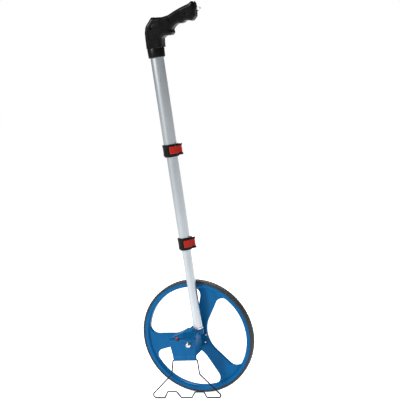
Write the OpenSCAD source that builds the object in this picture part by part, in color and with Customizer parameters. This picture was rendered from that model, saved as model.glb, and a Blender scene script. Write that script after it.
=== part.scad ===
// Measuring wheel with a telescopic pole, counter and folding wire stand. Millimetres, +Z up.
// The wheel turns about Y. The counter and the stand are on the -Y side, the grip points to +X.

/* [Wheel] */
// Radius over the tyre, for one metre a turn
wheel_r = 159.15; // [120:0.05:200]
// Width of the tyre
tyre_w = 22.4; // [16:0.2:34]
// Radius of the rim under the tyre
rim_r = 153.3; // [110:0.1:190]
// Radius of the outer edge of the three windows
window_r = 140.7; // [100:0.1:180]
// Thickness of the spokes
web_t = 11; // [6:0.5:20]
// Direction of the first spoke
spoke_angle = 65.5; // [0:0.5:119]
// Half width of a spoke near the hub
spoke_half = 15; // [8:0.5:30]
// Half width of a spoke at the rim
spoke_flare = 27; // [10:0.5:50]

/* [Pole] */
// Outer diameter of the lower tube
tube1_d = 25; // [16:0.5:30]
// Outer diameter of the middle tube
tube2_d = 30; // [20:0.5:36]
// Outer diameter of the top tube
tube3_d = 35; // [24:0.5:42]
// Height of the lower clamp's foot
clamp1_z = 412; // [300:1:500]
// Height of the upper clamp's foot
clamp2_z = 664; // [520:1:760]
// Height of a clamp collar
clamp_h = 30; // [20:1:45]

/* [Handle] */
// Height of the collar under the grip
collar_z = 922; // [800:1:1000]
// Length of the grip from the pole
grip_len = 110; // [80:1:120]

/* [Counter] */
// Depth of the counter from its front to its back cover
case_front = 75; // [60:1:90]
// Wall of the counter case
wall = 2.4; // [1.6:0.2:4]

/* [Stand] */
// Diameter of the stand's wire
wire_d = 3.8; // [3:0.1:6]

/* [Hidden] */
hub_y = 31.1;
pole_x = 15;
pole_y = -26;
eps = 0.05;
rot_fn = 128;
blue = [0.01, 0.31, 0.55];
blue_dark = [0.01, 0.22, 0.42];
black = [0.06, 0.06, 0.07];
steel = [0.72, 0.74, 0.76];
silver = [0.78, 0.81, 0.83];
red = [0.62, 0.08, 0.06];
white = [0.93, 0.93, 0.92];
brass = [0.75, 0.62, 0.32];
axle_r = 5;
bush_r = 8;
spigot_r = 11;
gear_r = 13.2;
idler_x = -26;
idler_z = 165;
skew_r = 4.1;
drum_y = -54.8;
drum_z = 173.6;
drum_r = 8.5;
drum_w = 5.4;
drum_x = 12.6;
cheek_t = 1.2;
back_y = -19.5;
split_y = -66;
slope = 243;
button_x = -33;
hinge_y = -71;
hinge_z = 115.5;
stand_y = -52.2;
eyelet_x = pole_x + 132;
eyelet_z = 1026;
case_base = 126;
case_top = 189.5;
case_profile = [
  [-50, 115], [14, 115], [17, 145], [20, 176], [21, 186],
  [18, case_top], [-18, 189], [-37, 181], [-54, 176], [-56, 166]
];
socket_r = 14.2;
socket_z = 173.5;
tube1_foot = 176;
screw_z = 182;
tube1_top = 500;
tube2_top = 745;
tube3_top = 986;
tube1_t = 1.2;
tube2_t = 2;
ear_z = 5;
lens = [29.5, 13, 1.4];
lens_drop = 8.8;
rivet_at = 27;
scoop_r = 75;
flare = atan((spoke_flare - spoke_half) / (window_r + 4 - 46));
side_off = spoke_half * cos(flare) - 46 * sin(flare);
corner_r = 22;
boss_r = 24;

module place() translate([0, hub_y, 0]) children();
module at_hub() translate([0, hub_y, wheel_r]) rotate([90, 0, 0]) children();
module at_pole(z) translate([pole_x, hub_y + pole_y, z]) children();

// A ring about the wheel's axle between two stations on Y
module hub_ring(r_out, r_in, y0, y1) {
  at_hub() translate([0, 0, -y1]) difference() {
    cylinder(r = r_out, h = y1 - y0, $fn = 64);
    translate([0, 0, -1]) cylinder(r = r_in, h = y1 - y0 + 2, $fn = 64);
  }
}

// A bar along Y at x, z
module y_bar(x, z, r, y0, y1) {
  translate([x, hub_y + y1, z]) rotate([90, 0, 0]) cylinder(r = r, h = y1 - y0, $fn = 32);
}

// A bar along X at y, z
module x_bar(y, z, r, x0, x1) {
  translate([x0, hub_y + y, z]) rotate([0, 90, 0]) cylinder(r = r, h = x1 - x0, $fn = 32);
}

module ring(r_out, r_in, h) {
  difference() {
    cylinder(r = r_out, h = h, $fn = 64);
    translate([0, 0, -1]) cylinder(r = r_in, h = h + 2, $fn = 64);
  }
}

// ---------------------------------------------------------------- wheel

module spoke_2d(a) {
  rotate(a) polygon([
    [0, -spoke_half], [46, -spoke_half], [window_r + 4, -spoke_flare],
    [window_r + 4, spoke_flare], [46, spoke_half], [0, spoke_half]
  ]);
}

// Web around the hub, scooped out between the spokes
module hub_2d() {
  difference() {
    circle(r = 64.5, $fn = 64);
    for (k = [0:2]) rotate(spoke_angle + 60 + 120 * k) {
      translate([(scoop_r + side_off) / sin(60 - flare), 0]) circle(r = scoop_r, $fn = 96);
    }
  }
}

module windows_2d() {
  offset(r = corner_r, $fn = 64) offset(delta = -corner_r) difference() {
    circle(r = window_r, $fn = rot_fn);
    hub_2d();
    spoke_2d(spoke_angle);
    spoke_2d(spoke_angle + 120);
    spoke_2d(spoke_angle + 240);
  }
}

module rivet_ring(r, r_hole, y0, y1) {
  for (i = [0:7]) at_hub() rotate(11 + 45 * i) translate([r, 0, -y1]) {
    cylinder(r = r_hole, h = y1 - y0, $fn = 24);
  }
}

module wheel_disc() {
  color(blue) difference() {
    union() {
      at_hub() translate([0, 0, -web_t / 2]) linear_extrude(height = web_t) difference() {
        circle(r = window_r + 4, $fn = rot_fn);
        windows_2d();
        circle(r = bush_r, $fn = 64);
      }
      at_hub() rotate_extrude($fn = rot_fn) polygon([
        [window_r, -9], [window_r + 3, -11], [rim_r, -11], [rim_r, -6], [rim_r - 3, -6],
        [rim_r - 3, 6], [rim_r, 6], [rim_r, 11], [window_r + 3, 11], [window_r, 9]
      ]);
      hub_ring(boss_r, bush_r, -9.5, 11);
      hub_ring(spigot_r, bush_r, -25, -9);
    }
    rivet_ring(rivet_at, 1.6, -12, 12);
  }
}

module tyre() {
  half = tyre_w / 2;
  color(black) at_hub() rotate_extrude($fn = rot_fn) polygon([
    [rim_r + eps, -half], [rim_r + 3.6, -half], [wheel_r - 0.8, -half + 1.8], [wheel_r, -half + 4],
    [wheel_r, half - 4], [wheel_r - 0.8, half - 1.8], [rim_r + 3.6, half], [rim_r + eps, half],
    [rim_r + eps, 6 - eps], [rim_r - 3 + eps, 6 - eps], [rim_r - 3 + eps, -6 + eps], [rim_r + eps, -6 + eps]
  ]);
}

module hub_plate() {
  color(blue_dark) difference() {
    hub_ring(30, boss_r + eps, -8.2, -web_t / 2);
    rivet_ring(rivet_at, 1.6, -12, 0);
  }
}

module hub_rivets() {
  color(steel) {
    rivet_ring(rivet_at, 1.55, -8.3, 5);
    rivet_ring(rivet_at, 2.8, -9.6, -8.2);
  }
}

module hub_bushes() {
  color(brass) {
    hub_ring(bush_r, axle_r + eps, -25, -10);
    hub_ring(bush_r, axle_r + eps, -4, 11);
  }
}

module gear_2d(r, teeth) {
  difference() {
    circle(r = r, $fn = 64);
    for (i = [0:teeth - 1]) rotate(i * 360 / teeth) {
      translate([r + 0.4, 0]) circle(r = 1.1, $fn = 16);
    }
  }
}

module drive_gear() {
  color(white) at_hub() translate([0, 0, 20]) linear_extrude(height = 5) difference() {
    gear_2d(gear_r, 24);
    circle(r = spigot_r, $fn = 64);
  }
}

// ---------------------------------------------------------------- axle

module axle() {
  color(steel) y_bar(0, wheel_r, axle_r, -79, 22);
}

module axle_dome_nut() {
  color(steel) difference() {
    union() {
      at_hub() translate([0, 0, case_front]) cylinder(r = 7.6, h = 4.6, $fn = 6);
      at_hub() translate([0, 0, case_front + 2.6]) intersection() {
        sphere(r = 6.6, $fn = 32);
        cylinder(r = 8, h = 8, $fn = 32);
      }
    }
    at_hub() translate([0, 0, case_front - 1]) cylinder(r = axle_r, h = 5.05, $fn = 32);
  }
}

module axle_washer() {
  color(steel) hub_ring(9.5, axle_r, 11.35, 12.85);
}

module axle_nut() {
  color(steel) at_hub() translate([0, 0, -19.4]) difference() {
    cylinder(r = 9.2, h = 6.5, $fn = 6);
    translate([0, 0, -1]) cylinder(r = axle_r, h = 9, $fn = 32);
  }
}

// ---------------------------------------------------------------- counter

module case_block(y0, y1, inset) {
  translate([0, hub_y + y1, 0]) rotate([90, 0, 0]) linear_extrude(height = y1 - y0) {
    offset(delta = -inset) polygon(case_profile);
  }
}

// Everything above the sloping display face, less a margin
module above_slope(margin) {
  translate([-100, hub_y, slope - margin * sqrt(2)]) rotate([45, 0, 0]) {
    translate([0, -200, 0]) cube([200, 400, 120]);
  }
}

// Frame of the display, its Z square to the slope and through the drums' axis
module at_display() {
  translate([drum_x - 28.5, hub_y + drum_y, drum_z]) rotate([45, 0, 0]) children();
}

module display_cut() {
  at_display() translate([0, -lens[1] / 2, 7]) cube([lens[0], lens[1], 8]);
}

module button_axis() {
  translate([button_x, hub_y - 69, slope - 69]) rotate([45, 0, 0]) children();
}

module screw_spots() {
  for (p = [[-47, 133], [11, 133], [-51, 169]]) translate([p[0], 0, p[1]]) children();
}

module case_bores() {
  y_bar(0, wheel_r, axle_r, -80, 0);
  button_axis() {
    translate([0, 0, -20]) cylinder(r = 4.6, h = 30, $fn = 32);
    translate([0, 0, -20]) cylinder(r = 5.6, h = 17.3, $fn = 32);
  }
  y_bar(pole_x, screw_z, 2, -45, -30);
}

module counter_case() {
  color(blue) difference() {
    union() {
      difference() {
        case_block(split_y, back_y, 0);
        translate([-100, hub_y + split_y - 1, 100]) cube([200, 60, case_base - 100]);
      }
      at_pole(socket_z) cylinder(r = socket_r, h = 14.5, $fn = 64);
    }
    difference() {
      case_block(split_y - 1, back_y + 1, wall);
      translate([-100, hub_y + split_y - 2, 100]) cube([200, 60, case_base - 100 + wall]);
      at_pole(socket_z) cylinder(r = socket_r, h = 60, $fn = 64);
      y_bar(0, wheel_r, 8, -38, -25.5);
      translate([-1.5, hub_y - 38, case_base]) cube([3, 12.5, 28]);
      screw_spots() y_bar(0, 0, 3.4, split_y, back_y);
      above_slope(wall);
      for (x = [-13, 10]) translate([x, hub_y - 60, case_base]) cube([3, 16, 21]);
    }
    above_slope(0);
    display_cut();
    case_bores();
    at_pole(tube1_foot) cylinder(r = tube1_d / 2, h = 40, $fn = 64);
    screw_spots() y_bar(0, 0, 1.5, -50, 0);
    for (x = [-11.5, 11.5]) translate([x, hub_y - 46, 140]) cylinder(r = 1.25, h = 20, $fn = 24);
  }
}

module front_cover() {
  color(blue) difference() {
    union() {
      case_block(-case_front, split_y, 0);
      x_bar(hinge_y, hinge_z, 4, -50, 14);
    }
    difference() {
      case_block(-case_front + wall, split_y + 1, wall);
      x_bar(hinge_y, hinge_z, 4, -50, 14);
      y_bar(0, wheel_r, 8, -case_front, split_y);
      y_bar(idler_x, idler_z, 4.6, -case_front, split_y);
      above_slope(wall);
    }
    above_slope(0);
    display_cut();
    case_bores();
    y_bar(idler_x, idler_z, 2.5 + eps, -71, split_y + 1);
    x_bar(hinge_y, hinge_z, wire_d / 2 + eps, -60, 30);
    translate([-60, hub_y - 80, hinge_z - 6]) cube([90, 20, 5.1]);
  }
}

module back_cover() {
  color(blue_dark) difference() {
    intersection() {
      case_block(back_y, back_y + wall, 0);
      translate([-100, 0, case_base]) cube([200, 60, 100]);
    }
    y_bar(0, wheel_r, 13.5, -40, 0);
    at_pole(socket_z) cylinder(r = socket_r, h = 60, $fn = 64);
    y_bar(idler_x, idler_z, 2.5 + eps, -40, 0);
    screw_spots() y_bar(0, 0, 1.5, -40, 0);
  }
}

module case_screws() {
  color(steel) screw_spots() {
    y_bar(0, 0, 1.5, -34, back_y + wall);
    y_bar(0, 0, 3, back_y + wall, back_y + wall + 1.6);
  }
}

module display_window() {
  color([0.75, 0.85, 0.88]) at_display() translate([0, -lens[1] / 2, lens_drop]) cube(lens);
}

module counter_frame() {
  span = 5 * drum_w + 0.6;
  color(steel) difference() {
    translate([drum_x + 0.3 - span - cheek_t, hub_y - 61, 147]) {
      cube([cheek_t, 12, 30]);
      translate([span + cheek_t, 0, 0]) cube([cheek_t, 12, 30]);
      cube([span + 2 * cheek_t, 18, 1.6]);
    }
    x_bar(drum_y, drum_z, 2 + eps, -20, 20);
    for (x = [-11.5, 11.5]) translate([x, hub_y - 46, 140]) cylinder(r = 1.3, h = 20, $fn = 24);
  }
}

module frame_screws() {
  color(steel) for (x = [-11.5, 11.5]) translate([x, hub_y - 46, 0]) {
    translate([0, 0, 141]) cylinder(r = 1.25, h = 7.7, $fn = 24);
    translate([0, 0, 148.6]) cylinder(r = 2.4, h = 1.2, $fn = 24);
  }
}

module idler_shaft() {
  color(white) {
    y_bar(idler_x, idler_z, 2.5, -70.5, back_y + 2);
    translate([idler_x, hub_y - 20, idler_z]) rotate([90, 0, 0]) linear_extrude(height = 5) {
      gear_2d(gear_r, 24);
    }
    y_bar(idler_x, idler_z, skew_r, drum_y - 5, drum_y + 5);
  }
}

module counter_shaft() {
  color(steel) {
    x_bar(drum_y, drum_z, 2, idler_x - 4, drum_x + 1.5);
    x_bar(drum_y, drum_z, skew_r, idler_x - 4, idler_x + 4);
  }
}

module drum(k) {
  color(white) translate([drum_x - drum_w * (k + 1), hub_y + drum_y, drum_z]) rotate([0, 90, 0]) {
    ring(drum_r, k == 0 ? 2 : 2 + eps, drum_w - 0.35);
  }
}

module drum_tenths() drum(0);
module drum_ones() drum(1);
module drum_tens() drum(2);
module drum_hundreds() drum(3);
module drum_thousands() drum(4);

module reset_button() {
  color(red) button_axis() {
    translate([0, 0, -6]) cylinder(r = 4.55, h = 10, $fn = 48);
    translate([0, 0, -5]) cylinder(r = 5.4, h = 2.2, $fn = 48);
  }
}

// ---------------------------------------------------------------- stand

// Corners of the wire, [x, height over the floor's wire centre, bend radius], closed by the hinge bar
stand_lean = atan2(stand_y - hinge_y, hinge_z - wire_d / 2);
stand_h = (hinge_z - wire_d / 2) / cos(stand_lean);
stand_corners = [
  [-53.5, stand_h, 3], [-66, 73, 8], [-150, 0, 8.9], [-103, 0, 4], [-91, 18.9, 4],
  [-64, 18.9, 4], [-54, 0, 4], [-23, 0, 4], [-10, 17.3, 4], [15.5, 17.3, 4],
  [21, 0, 4], [68.8, 0, 7.2], [14.5, 72, 8], [17.3, stand_h, 3]
];
bend_steps = 4;
wire_sides = 12;

function corner(i) = stand_corners[(i + len(stand_corners)) % len(stand_corners)];
function heading(i) = atan2(corner(i + 1)[1] - corner(i)[1], corner(i + 1)[0] - corner(i)[0]);
function turn(i) = (heading(i) - heading(i - 1) + 540) % 360 - 180;
function setback(i) = corner(i)[2] * tan(abs(turn(i)) / 2);

// Centre of the bend at corner i
function bend_centre(i) =
  let (side = turn(i) > 0 ? 1 : -1, start = heading(i - 1), r = corner(i)[2])
  [
    corner(i)[0] - setback(i) * cos(start) - side * r * sin(start),
    corner(i)[1] - setback(i) * sin(start) + side * r * cos(start)
  ];

// Vertex j of the wire's section at corner i, k from 0 at the bend's start to 1 at its end
function wire_vertex(i, k, j) =
  let (
    side = turn(i) > 0 ? 1 : -1,
    a = heading(i - 1) - 90 * side + k * turn(i),
    r = corner(i)[2] + side * wire_d / 2 * cos(j * 360 / wire_sides),
    at = bend_centre(i)
  )
  [at[0] + r * cos(a), at[1] + r * sin(a), wire_d / 2 * sin(j * 360 / wire_sides)];

module stand_wire() {
  rings = len(stand_corners) * (bend_steps + 1);
  points = [
    for (i = [0:len(stand_corners) - 1]) for (k = [0:bend_steps]) for (j = [0:wire_sides - 1])
      wire_vertex(i, k / bend_steps, j)
  ];
  faces = [
    for (i = [0:rings - 1]) for (j = [0:wire_sides - 1])
      let (n = (i + 1) % rings, m = (j + 1) % wire_sides)
      [i * wire_sides + j, i * wire_sides + m, n * wire_sides + m, n * wire_sides + j]
  ];
  color(black) translate([0, hub_y + stand_y, wire_d / 2]) rotate([90 + stand_lean, 0, 0]) {
    polyhedron(points = points, faces = faces);
  }
}

// ---------------------------------------------------------------- pole

module pole_ring() {
  color(silver) at_pole(case_top + eps) ring(socket_r, tube1_d / 2 + 0.02, 3.5);
}

module lower_tube() {
  color(silver) difference() {
    at_pole(tube1_foot) ring(tube1_d / 2, tube1_d / 2 - tube1_t, tube1_top - tube1_foot);
    y_bar(pole_x, screw_z, 2, -60, -30);
  }
}

module socket_screw() {
  color(steel) y_bar(pole_x, screw_z, 2, -44, -34);
}

module tube_stop(r_out, r_tube, z) {
  color(black) at_pole(z) difference() {
    union() {
      translate([0, 0, -10]) cylinder(r = r_tube, h = 10, $fn = 48);
      cylinder(r = r_out, h = 3, $fn = 48);
    }
    translate([0, 0, -11]) cylinder(r = r_tube - 1.5, h = 16, $fn = 48);
  }
}

module lower_tube_stop() tube_stop(tube2_d / 2 - tube2_t - eps, tube1_d / 2 - tube1_t, tube1_top);
module middle_tube_stop() tube_stop(tube3_d / 2 - tube2_t - eps, tube2_d / 2 - tube2_t, tube2_top);

module middle_tube() {
  color(silver) at_pole(clamp1_z) ring(tube2_d / 2, tube2_d / 2 - tube2_t, tube2_top - clamp1_z);
}

module top_tube() {
  color(silver) at_pole(clamp2_z) ring(tube3_d / 2, tube3_d / 2 - tube2_t, tube3_top - clamp2_z);
}

// Guide sleeve inside the foot of a tube
module bush(z, tube_d, inner_d) {
  color(black) at_pole(z - 3) {
    ring(tube_d / 2 + 2, inner_d / 2 + eps, 3);
    ring(tube_d / 2 - tube2_t, inner_d / 2 + eps, 28);
  }
}

module lower_bush() bush(clamp1_z, tube2_d, tube1_d);
module upper_bush() bush(clamp2_z, tube3_d, tube2_d);

// Split collar with two ears that carry the lever's pin
module clamp(z, tube_d) {
  r = tube_d / 2;
  color(black) at_pole(z) difference() {
    union() {
      cylinder(r = r + 4.3, h = clamp_h, $fn = 64);
      for (up = [0, clamp_h - ear_z]) translate([0, 0, up]) {
        translate([0, -6, 0]) cube([r + 9, 14, ear_z]);
        translate([r + 9, 1, 0]) cylinder(r = 6, h = ear_z, $fn = 32);
      }
    }
    translate([0, 0, -1]) cylinder(r = r, h = clamp_h + 2, $fn = 64);
    translate([0, 4.5, -1]) cube([r + 20, 1.2, clamp_h + 2]);
    translate([r + 9, 1, -1]) cylinder(r = 2, h = clamp_h + 2, $fn = 32);
  }
}

module lower_clamp() clamp(clamp1_z, tube2_d);
module upper_clamp() clamp(clamp2_z, tube3_d);

// Curved lever over the front of the collar
module lever(z, tube_d) {
  r = tube_d / 2;
  lever_h = clamp_h - 2 * ear_z - 0.8;
  color(red) at_pole(z + ear_z + 0.4) difference() {
    union() {
      intersection() {
        difference() {
          cylinder(r = r + 8.2, h = lever_h, $fn = 64);
          translate([0, 0, -1]) cylinder(r = r + 4.8, h = clamp_h, $fn = 64);
        }
        rotate(-95) cube([60, 60, 60]);
        rotate(-78) cube([60, 60, 60]);
      }
      translate([r + 9, 1, 0]) cylinder(r = 4.4, h = lever_h, $fn = 32);
      translate([r + 5.6, -4, 0]) cube([2.6, 6, lever_h]);
    }
    translate([r + 9, 1, -1]) cylinder(r = 2 + eps, h = clamp_h, $fn = 32);
  }
}

module lower_lever() lever(clamp1_z, tube2_d);
module upper_lever() lever(clamp2_z, tube3_d);

module lever_pin(z, tube_d) {
  color(steel) at_pole(z) translate([tube_d / 2 + 9, 1, 0]) {
    translate([0, 0, -1]) cylinder(r = 3.2, h = 1, $fn = 32);
    cylinder(r = 2, h = clamp_h, $fn = 32);
    translate([0, 0, clamp_h]) cylinder(r = 3.2, h = 1, $fn = 32);
  }
}

module lower_lever_pin() lever_pin(clamp1_z, tube2_d);
module upper_lever_pin() lever_pin(clamp2_z, tube3_d);

// ---------------------------------------------------------------- handle

module handle_collar() {
  color(black) at_pole(collar_z) difference() {
    cylinder(r1 = 21.8, r2 = 22.8, h = 24, $fn = 64);
    translate([0, 0, -1]) cylinder(r = tube3_d / 2, h = 26, $fn = 64);
  }
}

module blob(x, z, rx, ry, rz) {
  at_pole(0) translate([x, 0, z]) scale([rx, ry, rz]) sphere(r = 1, $fn = 28);
}

module handle_body() {
  hull() {
    at_pole(946) scale([1, 0.8, 1]) cylinder(r = 23, h = 1, $fn = 32);
    blob(-1, 998, 21, 17.5, 24);
    blob(10, 1002, 20, 17, 21);
  }
  hull() {
    blob(6, 1003, 18, 16.5, 19);
    blob(grip_len, 1020, 15, 15, 17);
  }
  hull() {
    blob(grip_len - 10, 1026, 14, 12, 11);
    blob(grip_len + 10, 1039, 6, 9, 8);
  }
  hull() {
    blob(30, 985, 14, 14, 12);
    blob(47, 984, 10, 11, 10);
  }
}

module screw_row() {
  for (p = [[2, 996], [54, 1010], [100, 1018]]) {
    at_pole(0) translate([p[0], 0, p[1]]) rotate([90, 0, 0]) children();
  }
}

module grip_half(side) {
  color(black) difference() {
    intersection() {
      handle_body();
      translate([-200, hub_y + pole_y + (side < 0 ? -60 : eps), 900]) cube([400, 60, 200]);
    }
    at_pole(930) cylinder(r = tube3_d / 2, h = 56, $fn = 64);
    screw_row() translate([0, 0, -30]) cylinder(r = 1.6, h = 60, $fn = 24);
    screw_row() translate([0, 0, 11]) cylinder(r = 3.2, h = 30, $fn = 24);
    at_pole(eyelet_z) translate([eyelet_x - pole_x - 13, 0, 0]) rotate([0, 90, 0]) {
      cylinder(r = 2.2, h = 20, $fn = 24);
    }
  }
}

module grip_front() grip_half(-1);
module grip_back() grip_half(1);

module grip_screws() {
  color(steel) screw_row() {
    translate([0, 0, -9]) cylinder(r = 1.55, h = 20.2, $fn = 24);
    translate([0, 0, 11]) cylinder(r = 3, h = 1.8, $fn = 24);
  }
}

module strap_eyelet() {
  color(steel) translate([eyelet_x, hub_y + pole_y, eyelet_z]) {
    translate([-12, 0, 0]) rotate([0, 90, 0]) cylinder(r = 2.2, h = 7.6, $fn = 24);
    rotate([90, 0, 0]) translate([0, 0, -1.5]) difference() {
      cylinder(r = 6, h = 3, $fn = 48);
      translate([0, 0, -1]) cylinder(r = 3.5, h = 5, $fn = 48);
    }
  }
}

wheel_disc();
tyre();
hub_plate();
hub_rivets();
hub_bushes();
drive_gear();
axle();
axle_dome_nut();
axle_washer();
axle_nut();
counter_case();
front_cover();
back_cover();
case_screws();
display_window();
counter_frame();
frame_screws();
idler_shaft();
counter_shaft();
drum_tenths();
drum_ones();
drum_tens();
drum_hundreds();
drum_thousands();
reset_button();
stand_wire();
pole_ring();
lower_tube();
socket_screw();
lower_tube_stop();
middle_tube();
lower_clamp();
lower_bush();
lower_lever();
lower_lever_pin();
middle_tube_stop();
top_tube();
upper_clamp();
upper_bush();
upper_lever();
upper_lever_pin();
handle_collar();
grip_front();
grip_back();
grip_screws();
strap_eyelet();
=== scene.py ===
"""Looks of the measuring wheel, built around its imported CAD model.

Lengths are millimetres in the wheel's frame: x from the axle, y from the wheel's middle plane, z from the
floor. The wheel's and the pole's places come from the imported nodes' boxes.
"""

import math

import bmesh
import bpy
import numpy as np
from mathutils import Matrix, Vector


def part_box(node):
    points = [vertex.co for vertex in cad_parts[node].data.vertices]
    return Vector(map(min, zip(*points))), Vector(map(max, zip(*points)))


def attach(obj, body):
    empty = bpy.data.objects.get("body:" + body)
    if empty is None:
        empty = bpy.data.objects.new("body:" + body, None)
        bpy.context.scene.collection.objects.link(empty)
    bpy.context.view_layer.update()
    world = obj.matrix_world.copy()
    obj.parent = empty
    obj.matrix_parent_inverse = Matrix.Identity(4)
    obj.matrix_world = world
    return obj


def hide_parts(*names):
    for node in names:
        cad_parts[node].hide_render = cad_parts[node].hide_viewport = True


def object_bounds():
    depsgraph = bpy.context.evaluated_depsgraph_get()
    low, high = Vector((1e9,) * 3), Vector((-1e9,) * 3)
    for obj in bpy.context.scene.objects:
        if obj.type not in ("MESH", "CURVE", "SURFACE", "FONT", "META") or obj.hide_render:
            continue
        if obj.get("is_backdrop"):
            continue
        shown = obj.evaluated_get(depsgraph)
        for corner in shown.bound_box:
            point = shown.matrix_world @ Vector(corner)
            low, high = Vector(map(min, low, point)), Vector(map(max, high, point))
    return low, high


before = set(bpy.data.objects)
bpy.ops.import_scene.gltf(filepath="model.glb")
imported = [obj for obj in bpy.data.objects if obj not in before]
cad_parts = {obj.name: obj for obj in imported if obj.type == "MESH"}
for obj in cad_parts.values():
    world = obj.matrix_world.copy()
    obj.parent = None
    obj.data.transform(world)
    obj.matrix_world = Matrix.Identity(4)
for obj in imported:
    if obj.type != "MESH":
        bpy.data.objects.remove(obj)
cad_low, cad_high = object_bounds()
MM = 0.001

# ---------------------------------------------------------------- places, from the frame


def middle(node):
    low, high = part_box(node)
    return (low + high) / 2


HUB_Y = middle("tyre").y
WHEEL_Z = middle("tyre").z / MM
WHEEL_R = (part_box("tyre")[1].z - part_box("tyre")[0].z) / 2 / MM
TYRE_HALF = (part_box("tyre")[1].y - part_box("tyre")[0].y) / 2 / MM
POLE_X = middle("top_tube").x / MM
POLE_Y = (middle("top_tube").y - HUB_Y) / MM


def span(node, axis):
    """Lowest and highest place of a CAD node along x, y or z."""
    low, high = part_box(node)
    k = "xyz".index(axis)
    shift = HUB_Y if axis == "y" else 0
    return (low[k] - shift) / MM, (high[k] - shift) / MM


def to_frame(points):
    """Points in millimetres from the wheel's frame, as metres in the row frame."""
    out = np.array(points, float) * MM
    out[:, 1] += HUB_Y
    return out


# ---------------------------------------------------------------- materials


class Nodes:
    """A short way to write a material's node tree."""

    def __init__(self, name):
        self.material = bpy.data.materials.new(name)
        self.material.use_nodes = True
        self.tree = self.material.node_tree
        self.shader = self.tree.nodes["Principled BSDF"]
        place = self.tree.nodes.new("ShaderNodeTexCoord")
        self.place = place.outputs["Object"]

    def add(self, kind, links=None, **settings):
        node = self.tree.nodes.new(kind)
        for key, value in settings.items():
            setattr(node, key, value)
        for key, value in (links or {}).items():
            if isinstance(value, bpy.types.NodeSocket):
                self.tree.links.new(value, node.inputs[key])
            else:
                node.inputs[key].default_value = value
        return node

    def stretched(self, scale):
        return self.add("ShaderNodeMapping", {"Vector": self.place, "Scale": scale}).outputs["Vector"]

    def noise(self, size_mm, detail=4.0, rough=0.55, stretch=(1, 1, 1)):
        """Noise whose blotches are about size_mm across."""
        links = {"Vector": self.stretched(stretch), "Scale": 1 / (size_mm * MM),
                 "Detail": detail, "Roughness": rough}
        return self.add("ShaderNodeTexNoise", links).outputs["Fac"]

    def ranged(self, value, low, high, out_low, out_high):
        links = {"Value": value, "From Min": low, "From Max": high, "To Min": out_low, "To Max": out_high}
        return self.add("ShaderNodeMapRange", links).outputs["Result"]

    def mixed(self, factor, a, b):
        node = self.add("ShaderNodeMix", {"Factor": factor}, data_type="RGBA")
        for socket, value in ((node.inputs[6], a), (node.inputs[7], b)):
            if isinstance(value, bpy.types.NodeSocket):
                self.tree.links.new(value, socket)
            else:
                socket.default_value = value
        return node.outputs[2]

    def math(self, operation, a, b):
        return self.add("ShaderNodeMath", {0: a, 1: b}, operation=operation).outputs[0]

    def bump(self, height, depth_mm, under=None):
        links = {"Height": height, "Distance": depth_mm * MM, "Strength": 1.0}
        if under is not None:
            links["Normal"] = under
        return self.add("ShaderNodeBump", links).outputs["Normal"]

    def set(self, **inputs):
        for key, value in inputs.items():
            socket = self.shader.inputs[key.replace("_", " ").title()]
            if isinstance(value, bpy.types.NodeSocket):
                self.tree.links.new(value, socket)
            else:
                socket.default_value = value


def tint(colour, gain):
    return (*[min(1.0, c * gain) for c in colour[:3]], 1)


def moulded(name, colour, roughness, grain_mm=0.7, grain_depth=0.02, mottle=0.1, wear=0.5, coat=0.0,
            shine=0.5):
    """Moulded plastic: fine spark-eroded grain, faint flow marks, handling scuffs and paler edges."""
    n = Nodes(name)
    flow = n.noise(26, 3, stretch=(1, 1, 0.45))
    body = n.mixed(n.ranged(flow, 0.3, 0.7, 0, 1), tint(colour, 1 - mottle), tint(colour, 1 + mottle))
    edge = n.ranged(n.add("ShaderNodeNewGeometry").outputs["Pointiness"], 0.53, 0.62, 0, wear)
    worn = n.mixed(n.math("MULTIPLY", edge, n.noise(3)), body, tint([c * 1.5 + 0.05 for c in colour], 1))
    scuff = n.ranged(n.noise(9, 6, 0.7, (1, 1, 3)), 0.45, 0.75, 0, 0.14)
    rough = n.math("ADD", n.ranged(n.noise(2.2), 0.3, 0.7, roughness - 0.05, roughness + 0.05), scuff)
    grain = n.bump(n.noise(grain_mm, 2), grain_depth)
    n.set(Base_color=worn, Roughness=rough, Normal=n.bump(n.noise(40, 1), 0.05, grain))
    n.shader.inputs["Coat Weight"].default_value = coat
    n.shader.inputs["Specular IOR Level"].default_value = shine
    n.shader.inputs["Coat Roughness"].default_value = 0.12
    return n.material


def rubber():
    """Tyre rubber: dark, dusty on the tread's high places, with a fine sanded grain."""
    n = Nodes("tyre_rubber_look")
    dust = n.ranged(n.noise(7, 6, 0.65), 0.42, 0.72, 0, 0.55)
    edge = n.ranged(n.add("ShaderNodeNewGeometry").outputs["Pointiness"], 0.5, 0.6, 0, 0.6)
    colour = n.mixed(n.math("MAXIMUM", dust, edge), (0.014, 0.014, 0.016, 1), (0.075, 0.07, 0.066, 1))
    rough = n.ranged(n.noise(3), 0.3, 0.7, 0.55, 0.8)
    n.set(Base_color=colour, Roughness=rough, Normal=n.bump(n.noise(0.6, 3), 0.06))
    return n.material


def drawn_metal(name, colour, roughness, along=(1, 1, 0.02), line_mm=0.35, depth=0.006, metallic=1.0):
    """Drawn or brushed metal: long fine lines, cloudy anodising and a few handling marks."""
    n = Nodes(name)
    lines = n.noise(line_mm, 3, 0.6, along)
    clouds = n.noise(30, 4, 0.6, (1, 1, 0.35))
    tone = n.mixed(n.ranged(clouds, 0.3, 0.7, 0, 1), tint(colour, 0.93), tint(colour, 1.05))
    marks = n.ranged(n.noise(5, 8, 0.75, (1, 1, 0.6)), 0.62, 0.78, 0, 0.16)
    rough = n.math("ADD", n.ranged(lines, 0.3, 0.7, roughness - 0.06, roughness + 0.08), marks)
    n.set(Base_color=tone, Roughness=rough, Metallic=metallic, Normal=n.bump(lines, depth))
    return n.material


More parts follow.
